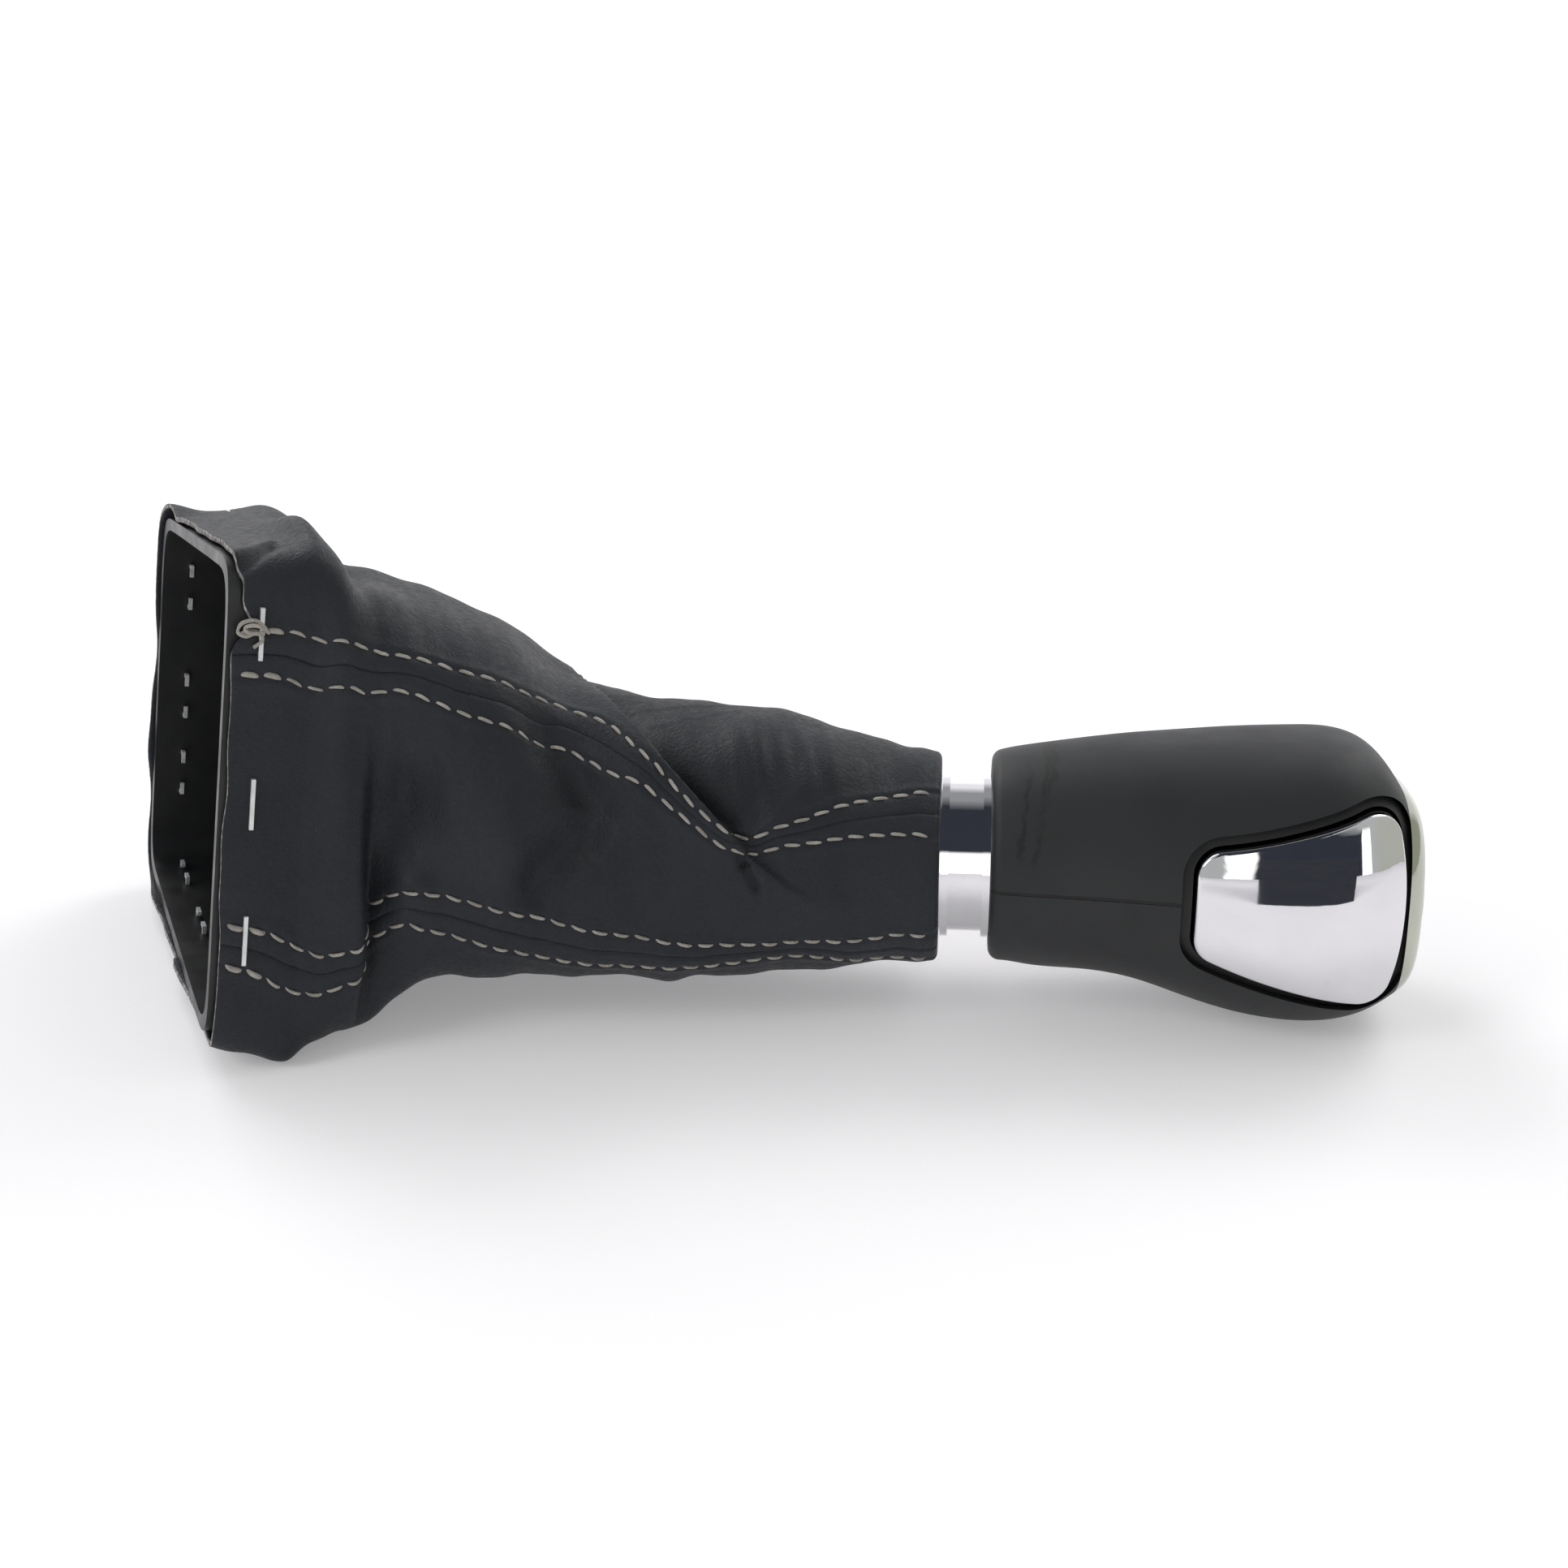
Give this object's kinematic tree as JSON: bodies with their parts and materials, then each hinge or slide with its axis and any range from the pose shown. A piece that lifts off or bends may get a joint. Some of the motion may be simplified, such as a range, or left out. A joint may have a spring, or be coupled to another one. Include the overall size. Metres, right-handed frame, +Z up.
{
  "type": "gear shift knob",
  "caption": "Black gear shift knob with a chrome thumb button and collar, and a stitched leather gaiter stapled to a plastic frame.",
  "frame": {"origin": "centre of the lever bore's mouth, under the collar", "axes": "+X along the lever axis towards the knob's head, +Y away from the thumb button, +Z up as the part lies on its side"},
  "size_m": [0.2792, 0.0968, 0.1031],
  "materials": {
    "soft_grip": "soft-touch matte black",
    "chrome": "polished chrome plating",
    "gloss_black": "smooth black plastic",
    "leather": "black grained leather with light grey topstitching",
    "frame_black": "shiny moulded black plastic",
    "inner_plastic": "plain moulded plastic",
    "steel": "bright drawn wire and screw steel"
  },
  "bodies": {
    "knob": {"button_spring": "steel", "button_surround": "gloss_black", "cap_screws": "steel", "collar": "chrome", "frame_staples": "steel", "gaiter_bottom_panel": "leather", "gaiter_far_panel": "leather", "gaiter_frame": "frame_black", "gaiter_near_panel": "leather", "gaiter_neck_ring": "inner_plastic", "gaiter_top_panel": "leather", "knob_core": "inner_plastic", "lever_screws": "steel", "lower_grip_shell": "soft_grip", "spring_plug": "inner_plastic", "top_bezel": "chrome", "top_cap": "gloss_black", "upper_grip_shell": "soft_grip"},
    "button": {"thumb_button": "chrome", "button_stem": "inner_plastic"},
    "slider": {"release_slider": "inner_plastic"}
  },
  "joints": [
    {"name": "button_press", "type": "slide", "parent": "knob", "child": "button", "axis": [0, 1, 0], "range_m": [0, 0.004], "stiffness_N_per_m": 800, "springref_m": -0.004, "deforming": ["button_spring"]},
    {"name": "slider_drive", "type": "slide", "parent": "knob", "child": "slider", "axis": [-1, 0, 0], "range_m": [0, 0.004]}
  ],
  "couplings": [
    {"joint": "slider_drive", "follows": "button_press", "ratio": 1}
  ]
}
